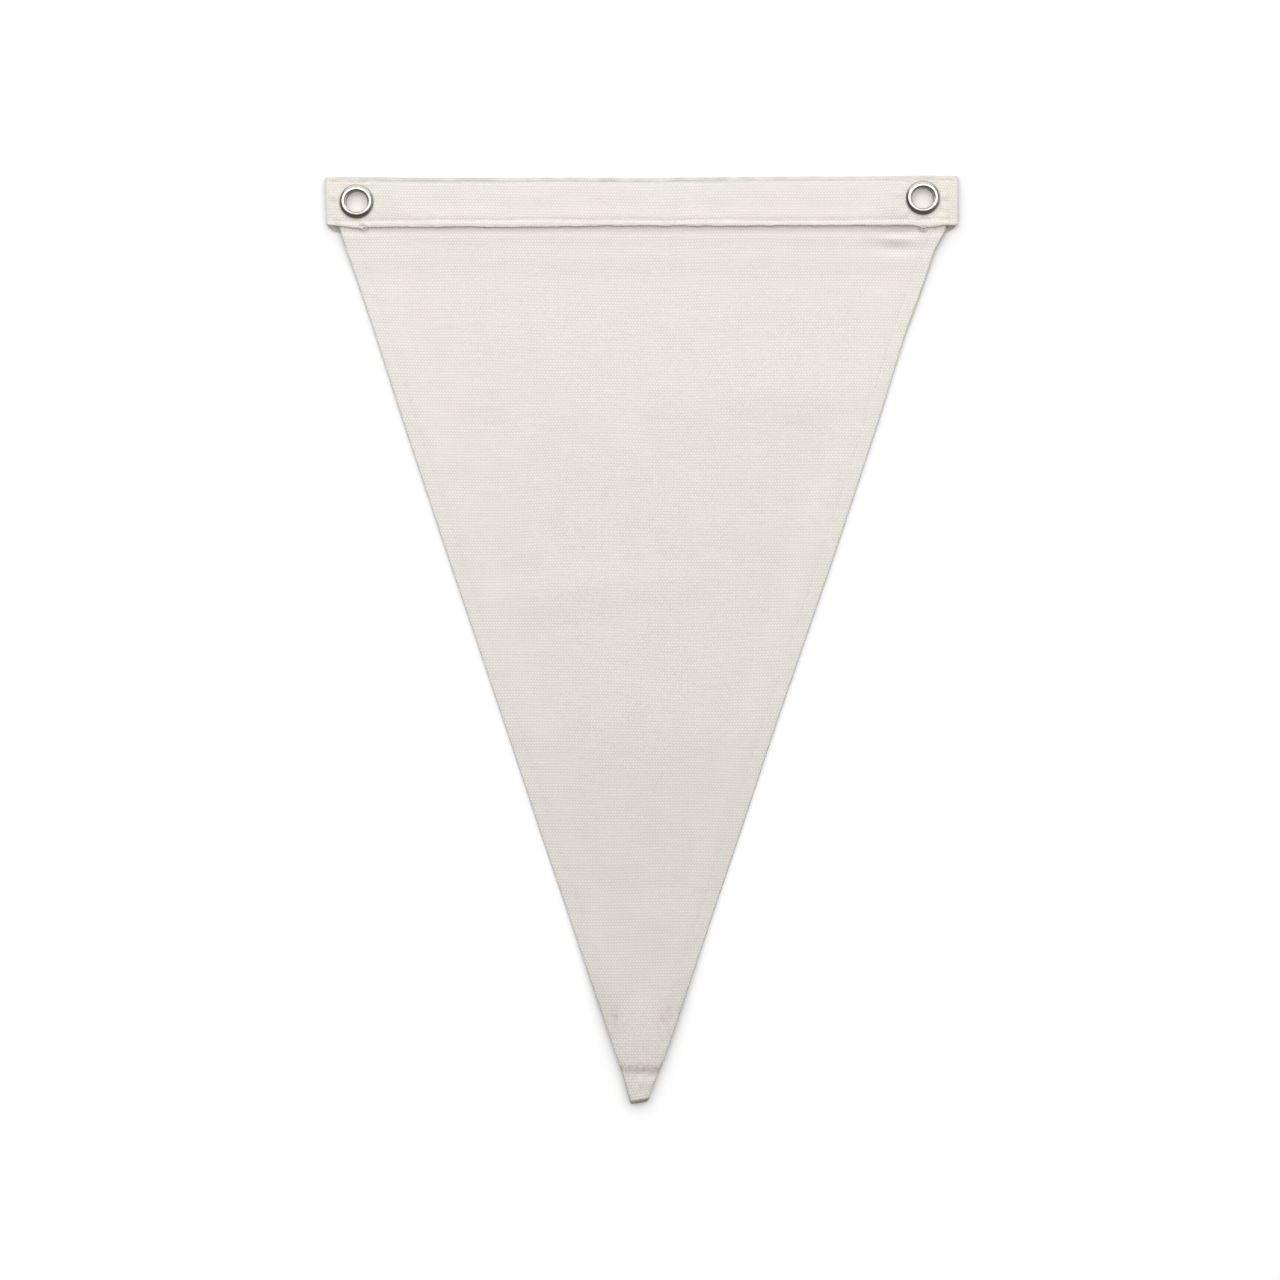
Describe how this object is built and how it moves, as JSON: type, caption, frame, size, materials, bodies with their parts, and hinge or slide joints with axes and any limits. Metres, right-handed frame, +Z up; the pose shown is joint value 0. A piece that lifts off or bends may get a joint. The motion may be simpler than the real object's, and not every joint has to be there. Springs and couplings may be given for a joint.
{
  "type": "pennant flag",
  "caption": "Plain off-white canvas pennant flag with hemmed sides, a folded heading and metal eyelets, lying face up.",
  "frame": {"origin": "on the surface that the flag lies on, under the middle of its bounding box", "axes": "+X along the heading to the right, +Y from the point to the heading, +Z up out of the flag's face"},
  "size_m": [0.3126, 0.457, 0.0055],
  "materials": {
    "body_canvas": "undyed heavy cotton canvas, plain weave, matt",
    "heading_canvas": "undyed heavy cotton canvas, folded strip, matt",
    "eyelet_nickel": "bright nickel plate"
  },
  "bodies": {
    "root": {"flag_body": "body_canvas", "heading_band": "heading_canvas", "eyelet_left": "eyelet_nickel", "eyelet_right": "eyelet_nickel"}
  },
  "joints": []
}
